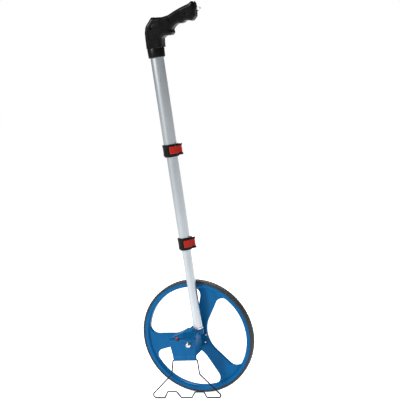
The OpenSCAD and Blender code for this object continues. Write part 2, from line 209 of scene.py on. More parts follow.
def turned_steel(name, colour=(0.66, 0.67, 0.68), roughness=0.28):
    """Zinc-plated steel with a mottled, slightly yellow passivation."""
    n = Nodes(name)
    blotch = n.ranged(n.noise(3.5, 5), 0.35, 0.7, 0, 1)
    tone = n.mixed(blotch, tint(colour, 1.0), (colour[0] * 0.92, colour[1] * 0.9, colour[2] * 0.84, 1))
    rough = n.ranged(n.noise(1.2), 0.3, 0.7, roughness - 0.08, roughness + 0.12)
    n.set(Base_color=tone, Roughness=rough, Metallic=1.0, Normal=n.bump(n.noise(0.5, 2), 0.008))
    return n.material


def dipped_wire():
    """Black dip-coated wire: thick satin coating with slight waves and nicks."""
    n = Nodes("coated_wire_look")
    nick = n.ranged(n.noise(4, 7, 0.7), 0.66, 0.72, 0, 0.5)
    colour = n.mixed(nick, (0.005, 0.005, 0.006, 1), (0.05, 0.048, 0.046, 1))
    rough = n.ranged(n.noise(6), 0.3, 0.7, 0.3, 0.48)
    n.shader.inputs["Specular IOR Level"].default_value = 0.15
    n.set(Base_color=colour, Roughness=rough, Normal=n.bump(n.noise(2.2, 2), 0.05))
    return n.material


def clear_lens():
    """Clear acrylic, seen through by its low alpha, with a glossy face and a few fine scratches."""
    n = Nodes("clear_plastic_look")
    scratch = n.ranged(n.noise(1.5, 8, 0.8, (1, 6, 1)), 0.6, 0.75, 0.03, 0.2)
    haze = n.mixed(n.noise(12), (0.001, 0.1, 0.27, 1), (0.001, 0.12, 0.31, 1))
    n.set(Base_color=haze, Roughness=scratch, Alpha=0.78)
    return n.material


BLUE = (0.0, 0.1, 0.275)
mat = {
    "blue_plastic": moulded("blue_plastic_look", BLUE, 0.32, 0.9, 0.012, wear=0.12, coat=0.02, shine=0.09),
    "dark_blue_plastic": moulded("dark_blue_plastic_look", tint(BLUE, 0.62), 0.36, shine=0.09),
    "button_plastic": moulded("button_plastic_look", (0.17, 0.008, 0.008), 0.35, wear=0.2),
    "black_plastic": moulded("black_plastic_look", (0.005, 0.005, 0.005), 0.3, 0.8, 0.012, 0.15, 0.02,
                             shine=0.12),
    "grip_plastic": moulded("grip_plastic_look", (0.004, 0.004, 0.0038), 0.24, 1.1, 0.012, 0.15, 0.02,
                            shine=0.12),
    "red_plastic": moulded("red_plastic_look", (0.42, 0.014, 0.008), 0.33, 0.8, 0.02, 0.08, 0.15,
                           shine=0.15),
    "white_plastic": moulded("white_plastic_look", (0.82, 0.82, 0.79), 0.45, 0.8, 0.02, 0.03, 0.1),
    "digit_ink": moulded("digit_ink_look", (0.012, 0.012, 0.013), 0.5, 0.4, 0.004, 0.1, 0.1),
    "red_ink": moulded("red_ink_look", (0.5, 0.02, 0.015), 0.5, 0.4, 0.004, 0.1, 0.1),
    "tyre_rubber": rubber(),
    "aluminium": drawn_metal("aluminium_look", (0.5, 0.54, 0.57), 0.36),
    "steel": turned_steel("steel_look"),
    "bright_trim": turned_steel("bright_trim_look", (0.88, 0.89, 0.9), 0.18),
    "bush_brass": turned_steel("bush_brass_look", (0.72, 0.52, 0.22), 0.3),
    "coated_wire": dipped_wire(),
    "clear_plastic": clear_lens(),
}

# ---------------------------------------------------------------- mesh helpers


def finish_mesh(name, verts, faces, material, sharp_deg=40):
    mesh = bpy.data.meshes.new(name)
    mesh.from_pydata([tuple(v) for v in to_frame(verts)], [], [tuple(int(i) for i in f) for f in faces])
    mesh.validate()
    mesh.materials.append(mat[material])
    mesh.polygons.foreach_set("use_smooth", [True] * len(mesh.polygons))
    mesh.set_sharp_from_angle(angle=math.radians(sharp_deg))
    obj = bpy.data.objects.new(name, mesh)
    bpy.context.scene.collection.objects.link(obj)
    return obj


def fillet(points, radius, steps=5):
    """A closed outline with an arc at each corner. radius is one number or one for each corner."""
    out = []
    for i, corner in enumerate(points):
        r = radius[i] if hasattr(radius, "__len__") else radius
        b = Vector(corner)
        to_last = Vector(points[i - 1]) - b
        to_next = Vector(points[(i + 1) % len(points)]) - b
        room = 0.49 * min(to_last.length, to_next.length)
        angle = to_last.angle(to_next)
        if r <= 0 or angle > math.pi - 0.02:
            out.append(tuple(b))
            continue
        back = min(r / math.tan(angle / 2), room)
        r = back * math.tan(angle / 2)
        u, v = to_last.normalized(), to_next.normalized()
        centre = b + (u + v).normalized() * (r / math.sin(angle / 2))
        start = b + u * back - centre
        first = math.atan2(start.y, start.x)
        end = b + v * back - centre
        turn = (math.atan2(end.y, end.x) - first + math.pi) % (2 * math.pi) - math.pi
        for k in range(steps + 1):
            a = first + turn * k / steps
            out.append((centre.x + r * math.cos(a), centre.y + r * math.sin(a)))
    return out


def about_hub(r, a, y):
    return (r * math.cos(a), y, WHEEL_Z + r * math.sin(a))


def about_pole(r, a, z):
    return (POLE_X + r * math.cos(a), POLE_Y + r * math.sin(a), z)


def lathe(name, profile, material, place=about_hub, steps=128, change=None, sharp_deg=40):
    """A closed profile of (radius, station) turned round the axle or the pole."""
    count = len(profile)
    verts, faces = [], []
    for i in range(steps):
        a = 2 * math.pi * i / steps
        for r, station in profile:
            if change:
                r, station = change(r, station, i)
            verts.append(place(r, a, station))
    for i in range(steps):
        for k in range(count):
            m = (k + 1) % count
            j = (i + 1) % steps
            faces.append((i * count + k, i * count + m, j * count + m, j * count + k))
    return outward(finish_mesh(name, verts, faces, material, sharp_deg))


def outward(obj):
    """Turns every face to point out of its solid."""
    bm = bmesh.new()
    bm.from_mesh(obj.data)
    bmesh.ops.recalc_face_normals(bm, faces=bm.faces)
    bm.to_mesh(obj.data)
    bm.free()
    return obj


def sculpt(name, field, low, high, cell, material, sharp_deg=50):
    """The surface where field(x, y, z) is 0: one vertex in each cell that it crosses, pulled onto it."""
    low, high = np.array(low, float), np.array(high, float)
    size = np.ceil((high - low) / cell).astype(int) + 1
    axes = [low[k] + cell * np.arange(size[k]) for k in range(3)]
    inside = field(*np.meshgrid(*axes, indexing="ij", sparse=True)) < 0
    inside = np.broadcast_to(inside, tuple(size))
    corners = sum(
        inside[i:size[0] - 1 + i, j:size[1] - 1 + j, k:size[2] - 1 + k].astype(np.int8)
        for i in (0, 1) for j in (0, 1) for k in (0, 1)
    )
    active = (corners > 0) & (corners < 8)
    index = np.full(active.shape, -1)
    index[active] = np.arange(active.sum())
    points = low + (np.argwhere(active) + 0.5) * cell
    step = cell * 0.2
    for _ in range(5):
        here = field(*points.T)
        slope = np.stack([
            field(*(points + step * axis).T) - field(*(points - step * axis).T) for axis in np.eye(3)
        ], 1) / (2 * step)
        pull = here / np.maximum((slope ** 2).sum(1), 0.05)
        points -= slope * np.clip(pull, -cell, cell)[:, None]
    faces = []
    for a in range(3):
        b, c = (a + 1) % 3, (a + 2) % 3
        near = [slice(None)] * 3
        far = [slice(None)] * 3
        near[a], far[a] = slice(None, -1), slice(1, None)
        edge = np.argwhere(inside[tuple(near)] != inside[tuple(far)])
        keep = (edge[:, b] > 0) & (edge[:, c] > 0) & (edge[:, b] < size[b] - 1) & (edge[:, c] < size[c] - 1)
        edge = edge[keep]
        ring = []
        for db, dc in ((-1, -1), (0, -1), (0, 0), (-1, 0)):
            cells = edge.copy()
            cells[:, b] += db
            cells[:, c] += dc
            ring.append(index[tuple(cells.T)])
        quads = np.stack(ring, 1)
        back = ~inside[tuple(edge.T)]
        quads[back] = quads[back][:, ::-1]
        faces.append(quads)
    return finish_mesh(name, points, np.concatenate(faces), material, sharp_deg)


# Distances to shapes, for sculpt(). Negative is inside.


def most(first, *others):
    """The largest of several distances: what all of their shapes share."""
    for other in others:
        first = np.maximum(first, other)
    return first


def soft_min(a, b, k):
    h = np.maximum(k - np.abs(a - b), 0) / k
    return np.minimum(a, b) - h * h * k / 4


def soft_max(a, b, k):
    return -soft_min(-a, -b, k)


def block(x, y, z, low, high, r=0.0):
    parts = []
    for value, a, b in zip((x, y, z), low, high):
        parts.append(np.abs(value - (a + b) / 2) - ((b - a) / 2 - r))
    outside = np.sqrt(sum(np.maximum(q, 0) ** 2 for q in parts))
    return outside + np.minimum(most(*parts), 0) - r


def drum_shape(u, v, w, radius, low, high, r=0.0):
    """A cylinder about w, from low to high."""
    side = np.sqrt(u ** 2 + v ** 2) - (radius - r)
    end = np.abs(w - (low + high) / 2) - ((high - low) / 2 - r)
    outside = np.sqrt(np.maximum(side, 0) ** 2 + np.maximum(end, 0) ** 2)
    return outside + np.minimum(np.maximum(side, end), 0) - r


def outline_distance(u, v, points):
    """Signed distance to a closed outline."""
    u, v = np.broadcast_arrays(u, v)
    best = np.full(u.shape, 1e9)
    winding = np.zeros(u.shape, bool)
    for i, (bx, by) in enumerate(points):
        ax, ay = points[i - 1]
        ex, ey = bx - ax, by - ay
        t = np.clip(((u - ax) * ex + (v - ay) * ey) / (ex * ex + ey * ey), 0, 1)
        best = np.minimum(best, (u - ax - t * ex) ** 2 + (v - ay - t * ey) ** 2)
        crosses = ((ay > v) != (by > v)) & (u < ax + (v - ay) * ex / (ey if ey else 1e-9))
        winding ^= crosses
    return np.where(winding, -1, 1) * np.sqrt(best)


def line_distance(u, v, points):
    """Distance to an open line of points."""
    u, v = np.broadcast_arrays(u, v)
    best = np.full(u.shape, 1e9)
    for (ax, ay), (bx, by) in zip(points, points[1:]):
        ex, ey = bx - ax, by - ay
        t = np.clip(((u - ax) * ex + (v - ay) * ey) / (ex * ex + ey * ey), 0, 1)
        best = np.minimum(best, (u - ax - t * ex) ** 2 + (v - ay - t * ey) ** 2)
    return np.sqrt(best)


def from_grid(grid, at_u, at_v, u, v):
    """A distance at u, v, read from a grid of distances at even stations, which saves time."""
    u = np.clip((u - at_u[0]) / (at_u[1] - at_u[0]), 0, len(at_u) - 1.001)
    v = np.clip((v - at_v[0]) / (at_v[1] - at_v[0]), 0, len(at_v) - 1.001)
    u, v = np.broadcast_arrays(u, v)
    i, j = u.astype(int), v.astype(int)
    s, t = u - i, v - j
    near = grid[i, j] * (1 - s) + grid[i + 1, j] * s
    far = grid[i, j + 1] * (1 - s) + grid[i + 1, j + 1] * s
    return near * (1 - t) + far * t


def groove(body, where, half_width, depth):
    """Body with a channel cut in its skin where the second distance is small."""
    return soft_max(body, -np.maximum(where - half_width, -(body + depth)), 0.4)


def tube_along(name, points, radius, material, sides=16):
    """A closed loop of round wire through points."""
    pts = [Vector(p) for p in points]
    count = len(pts)
    verts, faces = [], []
    for i, p in enumerate(pts):
        ahead = (pts[(i + 1) % count] - p).normalized()
        behind = (p - pts[i - 1]).normalized()
        tangent = (ahead + behind).normalized()
        across = tangent.cross(LOOP_NORMAL).normalized()
        widen = 1 / max(0.3, math.cos(ahead.angle(behind) / 2))
        for k in range(sides):
            a = 2 * math.pi * k / sides
            offset = across * (radius * widen * math.cos(a)) + LOOP_NORMAL * (radius * math.sin(a))
            verts.append(tuple(p + offset))
    for i in range(count):
        j = (i + 1) % count
        for k in range(sides):
            m = (k + 1) % sides
            faces.append((i * sides + k, i * sides + m, j * sides + m, j * sides + k))
    return outward(finish_mesh(name, verts, faces, material, 60))


def joined(name, objs):
    """One object from several meshes that share a material."""
    bm = bmesh.new()
    for o in objs:
        bm.from_mesh(o.data)
    mesh = objs[0].data.copy()
    bm.to_mesh(mesh)
    bm.free()
    mesh.name = name
    out = bpy.data.objects.new(name, mesh)
    bpy.context.scene.collection.objects.link(out)
    for o in objs:
        bpy.data.objects.remove(o)
    return out


def place_piece(obj, body, slot, *nodes):
    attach(obj, body)
    if nodes:
        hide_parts(*nodes)
    return obj


# ---------------------------------------------------------------- wheel

RIM_R = 153.3
WINDOW_R = 140.7
WEB_HALF = 5.5
SPOKE_DEG = 65.5          # angle of the first spoke
SPOKE_HALF = 15           # half of a spoke's width where it leaves the hub
SPOKE_FLARE = 27          # and at the rim
SPOKE_ROOT = 46           # radius where the flare starts
CORNER_R = 22             # of a window's corners
SCOOP_R = 75              # of a window's side towards the hub
BORE_R = 8.0
RIVET_R = 27
RIVET_ANGLES = [math.radians(11 + 45 * k) for k in range(8)]


def window_core(k):
    """A window's outline, shrunk by its corner radius: arc along the rim, then the scoop round the hub."""
    left = math.radians(SPOKE_DEG + 120 * k)
    bisector = left + math.pi / 3
    slope = (SPOKE_FLARE - SPOKE_HALF) / (WINDOW_R + 4 - SPOKE_ROOT)
    rim_r = WINDOW_R - CORNER_R

    def side_at(u):
        return SPOKE_HALF + (u - SPOKE_ROOT) * slope + CORNER_R * math.hypot(1, slope)

    reach = rim_r
    for _ in range(12):
        reach = math.sqrt(rim_r ** 2 - side_at(reach) ** 2)
    swing = math.pi / 3 - math.atan2(side_at(reach), reach)
    rim = [(rim_r * math.cos(bisector + t * swing), rim_r * math.sin(bisector + t * swing))
           for t in np.linspace(-1, 1, 40)]
    flare = math.atan(slope)
    line_off = (SPOKE_HALF - SPOKE_ROOT * slope) * math.cos(flare)
    centre = (SCOOP_R + line_off) / math.sin(math.pi / 3 - flare)
    scoop_r = SCOOP_R - CORNER_R
    scoop = []
    for t in np.linspace(1, -1, 41):
        a = bisector + math.pi - t * (math.pi / 6 + flare)
        scoop.append((centre * math.cos(bisector) + scoop_r * math.cos(a),
                      centre * math.sin(bisector) + scoop_r * math.sin(a)))
    return rim + scoop


WINDOWS = [window_core(k) for k in range(3)]
WINDOW_AT = np.arange(290) - 144.5
WINDOW_GRID = np.minimum.reduce([
    outline_distance(WINDOW_AT[:, None], WINDOW_AT[None, :], w) for w in WINDOWS
]) - CORNER_R


def window_distance(x, w):
    """Distance to the nearest window's edge."""
    return from_grid(WINDOW_GRID, WINDOW_AT, WINDOW_AT, x, w)


def wheel_field(x, y, z):
    """The moulded wheel: web, three windows, a dished rim, hub boss and the rivets' seats."""
    w = z - WHEEL_Z
    r = np.sqrt(x * x + w * w)
    depth = np.abs(y)
    dish = np.clip((r - 138) / 6.5, 0, 1)
    crown = 0.5 * np.sqrt(np.clip(1 - ((r - 148.5) / 6) ** 2, 0, 1))
    half = WEB_HALF - 0.15 + 5.0 * dish * dish * (3 - 2 * dish) + crown
    web = soft_max(r - RIM_R + 0.1, depth - half, 1.2)
    web = soft_max(web, -window_distance(x, w), 1.8)
    seat = np.maximum(RIM_R - 2.9 - r, depth - 5.9)
    web = np.maximum(web, -seat)
    boss = np.maximum(r - 23.9, np.abs(y - 0.75) - 10.1)
    body = soft_min(web, boss, 1.5)
    spigot = np.maximum(r - 10.9, np.abs(y + 16) - 8.9)
    body = np.minimum(body, spigot)
    for a in RIVET_ANGLES:
        rivet = np.sqrt((x - RIVET_R * math.cos(a)) ** 2 + (w - RIVET_R * math.sin(a)) ** 2)
        body = np.maximum(body, 1.6 - rivet)
    return np.maximum(body, BORE_R - r)


SPAN = RIM_R + 2
wheel = sculpt("wheel_moulding", wheel_field, (-SPAN, -26, WHEEL_Z - SPAN), (SPAN, 13, WHEEL_Z + SPAN),
               1.3, "blue_plastic", 38)
place_piece(wheel, "wheel", "blue_plastic", "wheel_disc")

RIBS = 3                  # on each side of the tread's middle rib
RIB_PITCH = 2.6
BLOCKS = 108              # round the tyre


def tyre_profile():
    """Half-round sidewalls with a raised ring, and a tread of ribs between grooves."""
    top, side = WHEEL_R - 0.05, TYRE_HALF - 0.05
    tread = []
    for k in range(-RIBS, RIBS + 1):
        c = k * RIB_PITCH
        tread += [(top - 0.9, c - 1.15), (top, c - 0.8), (top, c + 0.8), (top - 0.9, c + 1.15)]
    low = [(RIM_R + 0.05, -side), (RIM_R + 0.8, -side), (RIM_R + 1.3, -side + 0.5),
           (RIM_R + 2.2, -side + 0.5), (RIM_R + 2.8, -side + 0.2), (RIM_R + 3.8, -side + 0.5),
           (RIM_R + 4.8, -side + 1.3), (top - 0.6, -side + 2)]
    high = [(r, -y) for r, y in reversed(low)]
    seat = [(RIM_R + 0.05, 5.9), (RIM_R - 2.9, 5.9), (RIM_R - 2.9, -5.9), (RIM_R + 0.05, -5.9)]
    return low + tread + high + seat


def tread_blocks(r, y, i):
    """Cuts the outer ribs into blocks."""
    cut = i % 4 == 0 and abs(y) > 3.4 and r > WHEEL_R - 0.5
    return (r - 0.8 if cut else r), y


tyre = lathe("tyre_tread", tyre_profile(), "tyre_rubber", steps=BLOCKS * 4, change=tread_blocks, sharp_deg=32)
place_piece(tyre, "wheel", "tyre_rubber", "tyre")

plate_profile = [(24.05, -5.55), (24.05, -7.9), (24.4, -8.15), (28.8, -8.15), (29.9, -7.2), (29.9, -5.55)]
plate = lathe("hub_cover_plate", plate_profile, "dark_blue_plastic", sharp_deg=30)
place_piece(plate, "wheel", "dark_blue_plastic", "hub_plate")


def small_turned(name, profile, material, at, steps=32, sharp_deg=35):
    """A closed profile of (radius, y) turned about a line along y at x, z."""
    def place(r, a, y):
        return (at[0] + r * math.cos(a), y, at[1] + r * math.sin(a))
    return lathe(name, profile, material, place, steps, None, sharp_deg)


def dome(r_head, y_seat, height, outward_sign, r_core=0.02, steps=6):
    """Profile points of a domed head from its rim to its middle."""
    return [(max(r_core, r_head * math.cos(math.pi / 2 * t / steps)),
             y_seat + outward_sign * height * math.sin(math.pi / 2 * t / steps)) for t in range(steps + 1)]


rivets = []
for i, a in enumerate(RIVET_ANGLES):
    at = (RIVET_R * math.cos(a), WHEEL_Z + RIVET_R * math.sin(a))
    shape = [(0.02, 5), (1.5, 4.95), (1.5, -7.6)] + dome(2.8, -7.7, 1.85, -1)
    rivets.append(small_turned(f"rivet_{i}", shape, "steel", at))
place_piece(joined("hub_rivet_heads", rivets), "wheel", "steel", "hub_rivets")

# ---------------------------------------------------------------- axle

axle_shape = [(0.02, 22), (4.2, 22), (4.95, 21.2)]
axle_shape += [(4.95 if k % 2 else 4.45, 20.9 - 0.5 * k) for k in range(1, 22)]
axle_shape += [(4.95, 10), (4.95, -78), (4.2, -79), (0.02, -79)]
place_piece(small_turned("axle_rod", axle_shape, "steel", (0, WHEEL_Z), 48), "base", "steel", "axle")


def hexagon(u, v, flat):
    """A hexagon whose flats are flat away from its middle."""
    angles = (math.pi / 6, math.pi / 2, math.pi * 5 / 6)
    return most(*[np.abs(u * math.cos(a) + v * math.sin(a)) - flat for a in angles])


def dome_nut_field(x, y, z):
    w = z - WHEEL_Z
    r = np.sqrt(x * x + w * w)
    face = -75.0
    hexed = np.maximum(hexagon(x, w, 6.55), np.abs(y - face + 2.3) - 2.3)
    hexed = soft_max(hexed, np.sqrt(r * r + (y + 70) ** 2) - 12.0, 0.5)
    cap = np.sqrt(r * r + (y - face + 2.6) ** 2) - 6.55
    cap = np.maximum(cap, y - face)
    return np.maximum(soft_min(hexed, cap, 0.8), -np.maximum(r - 5, -79.05 - y))


nut = sculpt("axle_cap_nut", dome_nut_field, (-9, -85.5, WHEEL_Z - 9), (9, -73.5, WHEEL_Z + 9), 0.3,
             "steel", 32)
place_piece(nut, "base", "steel", "axle_dome_nut")

washer = [(5, 11.4), (9.1, 11.4), (9.5, 11.7), (9.5, 12.5), (9.1, 12.8), (5, 12.8)]
place_piece(lathe("axle_flat_washer", washer, "steel", steps=64), "base", "steel", "axle_washer")


def axle_nut_field(x, y, z):
    w = z - WHEEL_Z
    r = np.sqrt(x * x + w * w)
    body = np.maximum(hexagon(x, w, 7.9), np.abs(y - 16.15) - 3.25)
    body = soft_max(body, np.sqrt(r * r + (y - 12) ** 2) - 11.2, 0.4)
    return np.maximum(body, 5 - r)


nut = sculpt("axle_back_nut", axle_nut_field, (-10, 12, WHEEL_Z - 10), (10, 20.5, WHEEL_Z + 10), 0.4,
             "steel", 32)
place_piece(nut, "base", "steel", "axle_nut")

# ---------------------------------------------------------------- counter housing

CASE = [(-50, 115), (14, 115), (17, 145), (20, 176), (21, 186), (18, 189.5), (-18, 189), (-37, 181),
        (-54, 176), (-56, 166)]
CASE_ROUND = fillet(CASE, [3, 3, 20, 20, 4, 3, 8, 12, 4, 5], 4)
FRONT_Y, SPLIT_Y, BACK_Y = -75, -66, -19.5
FLOOR_Z = 126             # of the rear body; the front cover reaches lower, over the hinge bar
WALL = 2.4
SOCKET_R = 14.2
AXLE_BORE = 5
BUTTON_X, BUTTON_AT = -33, (-69, 174)         # the second is a place on the sloping face, in y and z
DRUM_AXIS = (-54.8, 173.6)
DRUM_X, DRUM_PITCH, DRUM_R = 12.6, 5.4, 8.5
HINGE_Y, HINGE_Z = -71, 115.5


def tilted(y, z, y0, z0):
    """Height over and distance along the sloping face through y0, z0."""
    s = math.sqrt(0.5)
    return ((z - z0) - (y - y0)) * s, ((z - z0) + (y - y0)) * s


def from_hub(x, z):
    return np.sqrt(x * x + (z - WHEEL_Z) ** 2)


def from_pole(x, y):
    return np.sqrt((x - POLE_X) ** 2 + (y - POLE_Y) ** 2)


def case_shape(x, y, z, y0, y1, soft):
    """The housing between two stations on y, its front edges rounded."""
    side = outline_distance(x, z, CASE_ROUND) + 0.1
    solid = soft_max(side, np.abs(y - (y0 + y1) / 2) - (y1 - y0) / 2 + 0.05, soft)
    over, _ = tilted(y, z, *BUTTON_AT)
    return soft_max(solid, over + 0.1, 2.0)


def window_box(x, y, z):
    over, along = tilted(y, z, *DRUM_AXIS)
    return most(np.abs(x + 1.15) - 14.75, np.abs(along) - 6.5, 7 - over)


def about_button(x, y, z):
    """Distance from the button's axis and height over the sloping face."""
    over, along = tilted(y, z, *BUTTON_AT)
    return np.sqrt((x - BUTTON_X) ** 2 + along ** 2), over


def front_field(x, y, z):
    """Front cover: a knob boss, a lip over the hinge bar, and the button's frame."""
    r = from_hub(x, z)
    solid = case_shape(x, y, z, FRONT_Y + 1.2, SPLIT_Y - 0.05, 2.5)
    lip = np.maximum(np.abs(z - 120.5) - 5.6, outline_distance(x, z, CASE_ROUND) + 0.1)
    lip = soft_max(lip, np.abs(y + 70.5) - 4.45, 2.0)
    solid = soft_min(solid, lip, 1.0)
    knob = soft_max(r - 14.5, np.abs(y + 70.5) - 4.5, 1.5)
    ring, over = about_button(x, y, z)
    solid = soft_min(solid, soft_max(knob, over + 0.1, 1.5), 1.0)
    shell = case_shape(x, y, z, FRONT_Y + WALL, SPLIT_Y + 3, 1.0) + WALL
    solid = np.maximum(solid, -most(shell, 5.4 - ring, 8 - r, FLOOR_Z - z))
    hinge = np.sqrt((y - HINGE_Y) ** 2 + (z - HINGE_Z) ** 2)
    solid = soft_min(solid, np.maximum(hinge - 3.95, np.abs(x + 18) - 31.9), 0.6)
    bezel = np.maximum(np.abs(ring - 6.3) - 1.1, np.abs(over + 0.6) - 0.7)
    solid = soft_min(solid, bezel, 0.5)
    slot = np.maximum(np.abs(y - HINGE_Y) - 10, np.abs(z - 112.05) - 2.55)
    return most(solid, -window_box(x, y, z), 4.65 - ring, np.where(over < -2.7, 5.6 - ring, -1.0),
                AXLE_BORE - r, 1.95 - hinge, -slot)


def case_field(x, y, z):
    """Rear body of the housing, open to the front, with the pole's socket."""
    r, pole = from_hub(x, z), from_pole(x, y)
    solid = np.maximum(case_shape(x, y, z, SPLIT_Y + 0.05, BACK_Y, 0.6), FLOOR_Z - z)
    seam = np.maximum(np.abs(y - SPLIT_Y) - 0.7, -(solid + 0.5))
    solid = np.maximum(solid, -seam)
    shell = case_shape(x, y, z, SPLIT_Y - 3, BACK_Y - WALL, 0.6) + WALL
    solid = np.maximum(solid, -most(shell, FLOOR_Z + WALL - z, SOCKET_R - pole, 8 - r))
    socket = np.maximum(pole - SOCKET_R, np.abs(z - 180.8) - 7.2)
    solid = soft_min(solid, socket, 1.2)
    ring, over = about_button(x, y, z)
    return most(solid, -window_box(x, y, z), np.where(z > 176, 12.5 - pole, -1.0),
                -np.maximum(ring - 5.6, over + 2.7), AXLE_BORE - r)


front = sculpt("housing_front", front_field, (-59, -78, 109), (24, -63, 192), 0.7, "blue_plastic", 40)
place_piece(front, "base", "blue_plastic", "front_cover")
rear = sculpt("housing_body", case_field, (-59, -68, 123), (31, -9, 192), 0.9, "blue_plastic", 40)
place_piece(rear, "base", "blue_plastic", "counter_case")


def back_field(x, y, z):
    """Back cover with a shallow panel line."""
    side = outline_distance(x, z, CASE_ROUND) + 0.1
    solid = soft_max(side, np.abs(y - BACK_Y - WALL / 2) - WALL / 2 + 0.03, 0.6)
    solid = np.maximum(solid, FLOOR_Z + 0.05 - z)
    panel = np.maximum(np.abs(side + 4.5) - 0.5, BACK_Y + WALL - 0.7 - y)
    return most(solid, -panel, 13.5 - from_hub(x, z), SOCKET_R + 0.1 - from_pole(x, y))


back = sculpt("housing_back", back_field, (-59, -21, 124), (24, -15.5, 192), 0.7, "dark_blue_plastic", 40)
place_piece(back, "base", "dark_blue_plastic", "back_cover")


def pan_screw(name, x, z, y_seat, sign, r_head, height, r_core, y_end):
    """A pan-head screw along y with a cross recess. sign is the side that its head faces."""
    def field(px, py, pz):
        u, v = px - x, pz - z
        r = np.sqrt(u * u + v * v)
        out = (py - y_seat) * sign
        ball = np.sqrt(r * r + (out + 2.6) ** 2) - (height + 2.6)
        head = most(soft_max(ball, r - r_head, 0.5), -out, out - height)
        core = most(r - r_core, out, (y_end - py) * sign)
        cross = np.minimum(np.maximum(np.abs(u) - 0.42, np.abs(v) - r_head * 0.62),
                           np.maximum(np.abs(v) - 0.42, np.abs(u) - r_head * 0.62))
        return np.maximum(np.minimum(head, core), -np.maximum(cross, height * 0.45 - out))
    y0, y1 = sorted((y_end - sign * 0.4, y_seat + sign * (height + 0.4)))
    reach = r_head + 0.5
    return sculpt(name, field, (x - reach, y0, z - reach), (x + reach, y1, z + reach), 0.28, "steel", 35)


screws = [pan_screw(f"case_screw_{i}", x, z, BACK_Y + WALL, 1, 3, 1.55, 1.5, BACK_Y - 4)
          for i, (x, z) in enumerate(((-47, 133), (11, 133), (-51, 169)))]
place_piece(joined("case_screw_heads", screws), "base", "steel", "case_screws")


def lens_field(x, y, z):
    over, along = tilted(y, z, *DRUM_AXIS)
    return block(x, along, over, (-15.85, -6.45, 8.8), (13.55, 6.45, 10.2), 0.35)


lens = sculpt("display_lens", lens_field, (-17, -70, 170), (15, -52, 190), 0.45, "clear_plastic", 40)
place_piece(lens, "base", "clear_plastic", "display_window")

# Each digit is one stroke, 1 wide and 1.4 high.
DIGITS = (
    ((0.5, 0), (0.15, 0.12), (0, 0.45), (0, 0.95), (0.15, 1.28), (0.5, 1.4), (0.85, 1.28), (1, 0.95),
     (1, 0.45), (0.85, 0.12), (0.5, 0)),
    ((0.2, 1.1), (0.55, 1.4), (0.55, 0)),
    ((0.02, 1.05), (0.15, 1.3), (0.5, 1.4), (0.85, 1.28), (0.98, 1.0), (0.8, 0.65), (0, 0), (1, 0)),
    ((0.02, 1.25), (0.5, 1.4), (0.92, 1.2), (0.85, 0.85), (0.45, 0.74), (0.9, 0.6), (1, 0.3),
     (0.7, 0.03), (0.3, 0.0), (0, 0.2)),
    ((0.78, 0), (0.78, 1.4), (0, 0.4), (1, 0.4)),
    ((0.95, 1.4), (0.15, 1.4), (0.08, 0.75), (0.5, 0.88), (0.9, 0.75), (1, 0.4), (0.8, 0.08), (0.4, 0),
     (0, 0.15)),
    ((0.85, 1.38), (0.35, 1.15), (0.05, 0.7), (0, 0.4), (0.2, 0.05), (0.5, 0), (0.85, 0.1), (1, 0.42),
     (0.8, 0.75), (0.45, 0.82), (0.08, 0.6)),
    ((0, 1.4), (1, 1.4), (0.4, 0)),
    ((0.5, 0.75), (0.12, 0.9), (0.1, 1.25), (0.5, 1.4), (0.9, 1.25), (0.88, 0.9), (0.5, 0.75),
     (0.05, 0.5), (0.02, 0.2), (0.3, 0), (0.7, 0), (0.98, 0.2), (0.95, 0.5), (0.5, 0.75)),
    ((0.15, 0.02), (0.65, 0.25), (0.95, 0.7), (1, 1.0), (0.8, 1.35), (0.5, 1.4), (0.15, 1.3), (0, 0.98),
     (0.2, 0.65), (0.55, 0.58), (0.92, 0.8)),
)
BOX_FACES = ((0, 3, 2, 1), (4, 5, 6, 7), (0, 1, 5, 4), (1, 2, 6, 5), (2, 3, 7, 6), (3, 0, 4, 7))


def on_drum(r, a, x):
    return (x, DRUM_AXIS[0] + r * math.cos(a), DRUM_AXIS[1] + r * math.sin(a))


def drum_digits(name, x_mid, material, wide=2.5, pen=0.34):
    """Raised digits round a drum, 0 facing the window. pen is half of a stroke's width."""
    verts, faces = [], []
    for digit, stroke in enumerate(DIGITS):
        centre = math.radians(135) - 2 * math.pi * digit / 10
        for (ax, ay), (bx, by) in zip(stroke, stroke[1:]):
            dx, dy = bx - ax, by - ay
            size = math.hypot(dx, dy)
            nx, ny = -dy / size * pen / wide, dx / size * pen / wide
            ex, ey = dx / size * pen / wide * 0.6, dy / size * pen / wide * 0.6
            base = len(verts)
            for r in (DRUM_R - 0.1, DRUM_R + 0.07):
                for px, py in ((ax - ex + nx, ay - ey + ny), (bx + ex + nx, by + ey + ny),
                               (bx + ex - nx, by + ey - ny), (ax - ex - nx, ay - ey - ny)):
                    verts.append(on_drum(r, centre - (py - 0.7) * wide / DRUM_R, x_mid + (px - 0.5) * wide))
            faces += [[base + k for k in face] for face in BOX_FACES]
    return outward(finish_mesh(name, verts, faces, material, 30))


DRUMS = (("drum_tenths", "counter_drive"), ("drum_ones", "ones"), ("drum_tens", "tens"),
         ("drum_hundreds", "hundreds"), ("drum_thousands", "thousands"))
for k, (node, body) in enumerate(DRUMS):
    x0 = DRUM_X - DRUM_PITCH * (k + 1)
    x1 = x0 + DRUM_PITCH - 0.35
    bore, ink = (2.0, "red_ink") if k == 0 else (2.05, "digit_ink")
    ring = [(bore, x0), (DRUM_R - 0.4, x0), (DRUM_R, x0 + 0.35), (DRUM_R, x1 - 0.35), (DRUM_R - 0.4, x1),
            (bore, x1)]
    drum = lathe(node + "_barrel", ring, "white_plastic", on_drum, 60)
    place_piece(drum, body, "white_plastic", node)
    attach(drum_digits(node + "_digits", (x0 + x1) / 2, ink), body)


